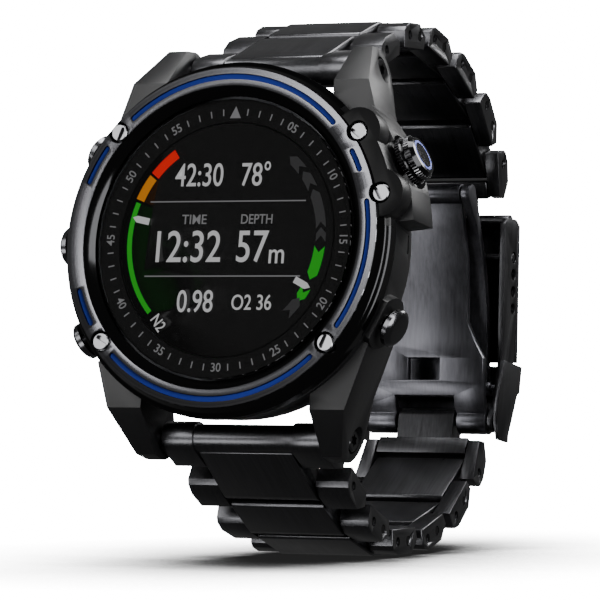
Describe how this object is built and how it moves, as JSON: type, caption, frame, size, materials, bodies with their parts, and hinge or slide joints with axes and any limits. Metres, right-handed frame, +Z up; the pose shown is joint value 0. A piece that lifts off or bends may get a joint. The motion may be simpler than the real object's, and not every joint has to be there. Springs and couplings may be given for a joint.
{
  "type": "dive computer",
  "caption": "Wrist dive computer with a round case, side buttons, a crown guard and a folding-clasp link bracelet, standing on its closed bracelet.",
  "frame": {"origin": "centre of the bottom of the box of the whole watch, on the surface that the closed bracelet stands on", "axes": "+Z up; the dial faces -Y and leans back by about 10 degrees; +X is to the 3 o'clock side of the dial"},
  "size_m": [0.0566, 0.084, 0.0782],
  "materials": {
    "case_shell": "fibre-reinforced polymer with a satin charcoal face",
    "bezel_metal": "turned and brushed, carbon-coated metal with a bright satin face",
    "screw_metal": "satin steel",
    "lens_glass": "polished sapphire",
    "dial_black": "black dial ring with light marks",
    "chassis_metal": "machined, satin",
    "circuit_board": "printed circuit board",
    "battery_wrap": "wrapped cell",
    "gasket_rubber": "moulded seal",
    "button_metal": "turned, carbon-coated metal",
    "link_metal": "brushed, carbon-coated metal",
    "blade_metal": "brushed, carbon-coated metal sheet",
    "contact_gold": "gold-plated contacts in a black block"
  },
  "bodies": {
    "root": {"case_body": "case_shell", "bezel": "bezel_metal", "bezel_screw_1": "screw_metal", "bezel_screw_2": "screw_metal", "bezel_screw_3": "screw_metal", "bezel_screw_4": "screw_metal", "bezel_screw_5": "screw_metal", "lens": "lens_glass", "dial_ring": "dial_black", "display": "dial_black", "display_frame": "chassis_metal", "front_gasket": "gasket_rubber", "main_board": "circuit_board", "battery": "battery_wrap", "vibration_motor": "screw_metal", "pressure_sensor": "screw_metal", "case_back": "case_shell", "sensor_window": "dial_black", "charging_contacts": "contact_gold", "back_gasket": "gasket_rubber", "lug_bar_upper": "screw_metal", "lug_bar_lower": "screw_metal", "end_link_upper": "link_metal", "end_link_lower": "link_metal"},
    "button_crown": {"button_crown": "button_metal"},
    "button_lower_right": {"button_lower_right": "button_metal"},
    "button_left_lower": {"button_left_lower": "button_metal"},
    "button_left_middle": {"button_left_middle": "button_metal"},
    "button_left_upper": {"button_left_upper": "button_metal"},
    "upper_row_1": {"upper_outer_1": "link_metal", "upper_centre_1": "link_metal"},
    "upper_row_2": {"upper_outer_2": "link_metal", "upper_centre_2": "link_metal"},
    "upper_row_3": {"upper_outer_3": "link_metal", "upper_centre_3": "link_metal"},
    "upper_row_4": {"upper_outer_4": "link_metal", "upper_centre_4": "link_metal"},
    "upper_row_5": {"upper_outer_5": "link_metal", "upper_centre_5": "link_metal"},
    "upper_row_6": {"upper_outer_6": "link_metal", "upper_centre_6": "link_metal"},
    "lower_row_1": {"lower_outer_1": "link_metal", "lower_centre_1": "link_metal"},
    "lower_row_2": {"lower_outer_2": "link_metal", "lower_centre_2": "link_metal"},
    "lower_row_3": {"lower_outer_3": "link_metal", "lower_centre_3": "link_metal"},
    "lower_row_4": {"lower_outer_4": "link_metal", "lower_centre_4": "link_metal"},
    "lower_row_5": {"lower_outer_5": "link_metal", "lower_centre_5": "link_metal"},
    "lower_row_6": {"lower_outer_6": "link_metal", "lower_centre_6": "link_metal"},
    "blade_inner": {"blade_inner": "blade_metal", "spring_bar_lower": "screw_metal"},
    "blade_outer": {"blade_outer": "blade_metal"},
    "clasp_cover": {"clasp_cover": "link_metal"},
    "flip_lock": {"flip_lock": "link_metal"},
    "adjust_link": {"adjust_link": "link_metal"}
  },
  "joints": [
    {"name": "button_crown_press", "type": "slide", "parent": "root", "child": "button_crown", "axis": [-0.9026, -0.0742, -0.4241], "range_m": [0, 0.0005], "stiffness_N_per_m": 1500, "springref_m": -0.001},
    {"name": "button_lower_right_press", "type": "slide", "parent": "root", "child": "button_lower_right", "axis": [-0.9041, 0.0737, 0.421], "range_m": [0, 0.0005], "stiffness_N_per_m": 1500, "springref_m": -0.001},
    {"name": "button_left_lower_press", "type": "slide", "parent": "root", "child": "button_left_lower", "axis": [0.866, 0.0862, 0.4925], "range_m": [0, 0.0005], "stiffness_N_per_m": 1500, "springref_m": -0.001},
    {"name": "button_left_middle_press", "type": "slide", "parent": "root", "child": "button_left_middle", "axis": [1, 0, 0], "range_m": [0, 0.0005], "stiffness_N_per_m": 1500, "springref_m": -0.001},
    {"name": "button_left_upper_press", "type": "slide", "parent": "root", "child": "button_left_upper", "axis": [0.866, -0.0862, -0.4925], "range_m": [0, 0.0005], "stiffness_N_per_m": 1500, "springref_m": -0.001},
    {"name": "upper_row_1_turn", "type": "hinge", "parent": "root", "child": "upper_row_1", "pos_m": [-0.00001, -0.00968, 0.07343], "axis": [1, 0, 0], "range_deg": [0, 6]},
    {"name": "upper_row_2_turn", "type": "hinge", "parent": "upper_row_1", "child": "upper_row_2", "pos_m": [-0.00001, -0.00046, 0.07609], "axis": [1, 0, 0], "range_deg": [0, 20]},
    {"name": "upper_row_3_turn", "type": "hinge", "parent": "upper_row_2", "child": "upper_row_3", "pos_m": [-0.00001, 0.00974, 0.07601], "axis": [1, 0, 0], "range_deg": [0, 20]},
    {"name": "upper_row_4_turn", "type": "hinge", "parent": "upper_row_3", "child": "upper_row_4", "pos_m": [-0.00001, 0.02099, 0.0728], "axis": [1, 0, 0], "range_deg": [0, 18]},
    {"name": "upper_row_5_turn", "type": "hinge", "parent": "upper_row_4", "child": "upper_row_5", "pos_m": [-0.00001, 0.03113, 0.06697], "axis": [1, 0, 0], "range_deg": [0, 24]},
    {"name": "upper_row_6_turn", "type": "hinge", "parent": "upper_row_5", "child": "upper_row_6", "pos_m": [-0.00001, 0.03847, 0.05824], "axis": [1, 0, 0], "range_deg": [0, 31]},
    {"name": "lower_row_1_turn", "type": "hinge", "parent": "root", "child": "lower_row_1", "pos_m": [-0.00001, -0.02078, 0.01085], "axis": [-1, 0, 0], "range_deg": [0, 10]},
    {"name": "lower_row_2_turn", "type": "hinge", "parent": "lower_row_1", "child": "lower_row_2", "pos_m": [-0.00001, -0.01281, 0.00549], "axis": [-1, 0, 0], "range_deg": [0, 18]},
    {"name": "lower_row_3_turn", "type": "hinge", "parent": "lower_row_2", "child": "lower_row_3", "pos_m": [-0.00001, -0.00319, 0.0021], "axis": [-1, 0, 0], "range_deg": [0, 23]},
    {"name": "lower_row_4_turn", "type": "hinge", "parent": "lower_row_3", "child": "lower_row_4", "pos_m": [-0.00001, 0.00851, 0.0021], "axis": [-1, 0, 0], "range_deg": [0, 18]},
    {"name": "lower_row_5_turn", "type": "hinge", "parent": "lower_row_4", "child": "lower_row_5", "pos_m": [-0.00001, 0.01986, 0.00494], "axis": [-1, 0, 0], "range_deg": [0, 22]},
    {"name": "lower_row_6_turn", "type": "hinge", "parent": "lower_row_5", "child": "lower_row_6", "pos_m": [-0.00001, 0.02946, 0.01108], "axis": [-1, 0, 0], "range_deg": [0, 6]},
    {"name": "blade_inner_turn", "type": "hinge", "parent": "lower_row_6", "child": "blade_inner", "pos_m": [-0.00001, 0.03312, 0.01878], "axis": [-1, 0, 0], "range_deg": [0, 6]},
    {"name": "clasp_open", "type": "hinge", "parent": "blade_inner", "child": "blade_outer", "pos_m": [-0.00001, 0.03047, 0.05355], "axis": [1, 0, 0], "range_deg": [0, 50]},
    {"name": "clasp_cover_turn", "type": "hinge", "parent": "blade_outer", "child": "clasp_cover", "pos_m": [-0.00001, 0.03663, 0.02375], "axis": [1, 0, 0], "range_deg": [-50, 0]},
    {"name": "flip_lock_open", "type": "hinge", "parent": "clasp_cover", "child": "flip_lock", "pos_m": [-0.00001, 0.03312, 0.01878], "axis": [-1, 0, 0], "range_deg": [0, 74]},
    {"name": "adjust_link_turn", "type": "hinge", "parent": "clasp_cover", "child": "adjust_link", "pos_m": [-0.00001, 0.03985, 0.04389], "axis": [1, 0, 0], "range_deg": [0, 12]}
  ],
  "couplings": [
    {"joint": "clasp_cover_turn", "follows": "clasp_open", "ratio": -1}
  ]
}
